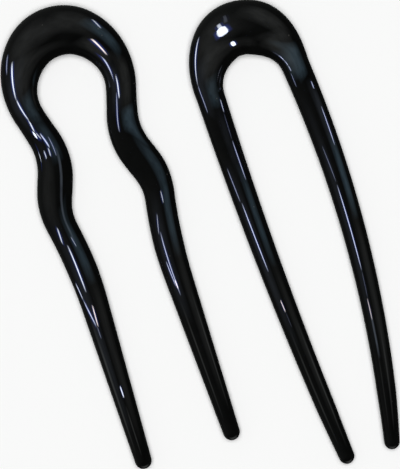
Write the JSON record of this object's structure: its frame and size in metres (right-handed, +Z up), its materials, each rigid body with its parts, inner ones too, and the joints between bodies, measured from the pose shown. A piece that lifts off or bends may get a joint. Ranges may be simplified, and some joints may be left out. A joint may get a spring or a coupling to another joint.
{
  "type": "hairpin",
  "caption": "Wavy and plain U-shaped hairpins of polished black plastic, each a thick bow with springy tapering prongs that hold a bun or twist of hair.",
  "frame": {"origin": "on the table, under the middle of the box around the pins", "axes": "+Y from the prong tips towards the bows, along the pins; +X from the wavy pin to the plain pin; +Z up from the table that both pins lie on"},
  "size_m": [0.0736, 0.1263, 0.0062],
  "materials": {
    "black_plastic": "polished"
  },
  "bodies": {
    "wavy_bow": {"wavy_bow": "black_plastic"},
    "wavy_left_prong": {"wavy_left_prong": "black_plastic"},
    "wavy_right_prong": {"wavy_right_prong": "black_plastic"},
    "plain_bow": {"plain_bow": "black_plastic"},
    "plain_left_prong": {"plain_left_prong": "black_plastic"},
    "plain_right_prong": {"plain_right_prong": "black_plastic"}
  },
  "joints": [
    {"name": "wavy_left_flex", "type": "hinge", "parent": "wavy_bow", "child": "wavy_left_prong", "pos_m": [-0.03027, 0.03326, 0.0023], "axis": [0, 0, -1], "range_deg": [-5, 5], "stiffness_Nm_per_rad": 3.4},
    {"name": "wavy_right_flex", "type": "hinge", "parent": "wavy_bow", "child": "wavy_right_prong", "pos_m": [-0.01071, 0.03326, 0.0023], "axis": [0, 0, 1], "range_deg": [-5, 5], "stiffness_Nm_per_rad": 3.4},
    {"name": "plain_pin_lift", "type": "slide", "parent": "wavy_bow", "child": "plain_bow", "axis": [0, 0, 1], "range_m": [0, 0.05]},
    {"name": "plain_left_flex", "type": "hinge", "parent": "plain_bow", "child": "plain_left_prong", "pos_m": [0.01073, 0.02439, 0.0022], "axis": [0, 0, -1], "range_deg": [-2, 5], "stiffness_Nm_per_rad": 2.5},
    {"name": "plain_right_flex", "type": "hinge", "parent": "plain_bow", "child": "plain_right_prong", "pos_m": [0.03286, 0.02589, 0.0022], "axis": [0, 0, 1], "range_deg": [-2, 5], "stiffness_Nm_per_rad": 2.5}
  ]
}
